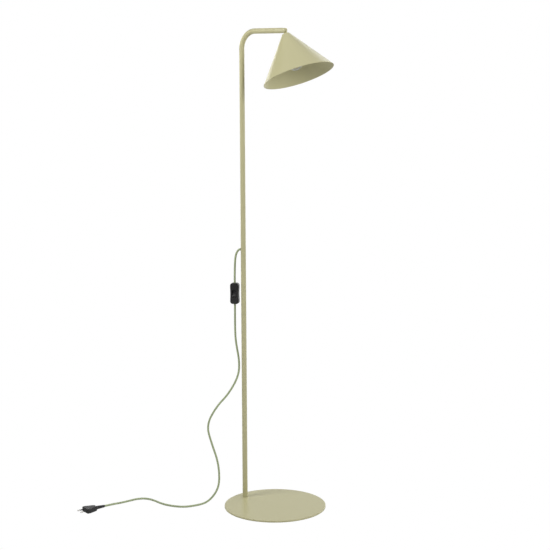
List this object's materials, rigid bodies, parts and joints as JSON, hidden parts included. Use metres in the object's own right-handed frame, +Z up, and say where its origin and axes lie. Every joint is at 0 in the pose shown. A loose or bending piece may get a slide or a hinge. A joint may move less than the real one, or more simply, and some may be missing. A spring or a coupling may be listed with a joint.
{
  "type": "adjustable arm floor lamp",
  "caption": "Floor lamp on a round plate: slim bent pole, swivelling arm end and tilting cone shade, corded with an in-line rocker switch.",
  "frame": {"origin": "centre of the floor face under the round base", "axes": "+Z up along the pole, +X along the arm from the pole toward the shade, +Y to the left of the arm"},
  "size_m": [0.6023, 0.567, 1.4015],
  "materials": {
    "paint": "satin powder coat",
    "pad": "matte foam",
    "steel": "zinc plated",
    "brass": "bare brass",
    "nickel": "nickel plated",
    "black_plastic": "fine moulded matte",
    "holder_plastic": "moulded, pale",
    "nylon": "natural nylon",
    "textile": "braided textile sleeve",
    "wire": "flexible insulation",
    "grommet": "soft rubber",
    "bulb_glass": "clear",
    "filament": "yellow phosphor",
    "stem_glass": "clear"
  },
  "bodies": {
    "stand": {"base_plate": "paint", "base_pad": "pad", "foot_bolt": "steel", "foot_insert": "steel", "lower_pole": "paint", "pole_coupler": "steel", "upper_pole": "paint", "cord_grommet": "grommet", "pole_lead": "wire", "arm_bush": "brass", "switch_front": "black_plastic", "switch_back": "black_plastic", "switch_screws": "steel", "switch_contacts": "brass", "switch_cord_clamps": "nylon", "switch_rocker_pin": "steel", "switch_rocker_lugs": "black_plastic", "plug_relief": "black_plastic", "plug_body": "black_plastic", "plug_pins": "nickel", "plug_sleeves": "black_plastic", "cord_upper": "textile", "cord_lower": "textile"},
    "head": {"head_spindle": "brass", "swivel_washer": "nylon", "swivel_nut": "brass", "head_fork": "paint", "hinge_screw": "steel", "tilt_washers": "nylon", "head_lead": "wire"},
    "shade": {"shade_tongue": "paint", "shade_nipple": "steel", "shade_shell": "paint", "shade_nut": "steel", "holder_cap": "holder_plastic", "holder_body": "holder_plastic", "holder_sleeve": "brass", "holder_contact": "brass", "holder_leads": "wire", "bulb_contact": "nickel", "bulb_insulator": "black_plastic", "bulb_cap": "nickel", "bulb_glass": "bulb_glass", "bulb_stem": "stem_glass", "bulb_filaments": "filament"},
    "rocker": {"switch_rocker": "black_plastic"}
  },
  "joints": [
    {"name": "head_swivel", "type": "hinge", "parent": "stand", "child": "head", "pos_m": [0.009, 0, 1.394], "axis": [1, 0, 0], "range_deg": [-160, 160]},
    {"name": "shade_tilt", "type": "hinge", "parent": "head", "child": "shade", "pos_m": [0.0421, 0, 1.394], "axis": [0, 1, 0], "range_deg": [-68, 32]},
    {"name": "switch_rock", "type": "hinge", "parent": "stand", "child": "rocker", "pos_m": [-0.14656, -0.00931, 0.6285], "axis": [0.891, 0.454, 0], "range_deg": [0, 28]}
  ]
}
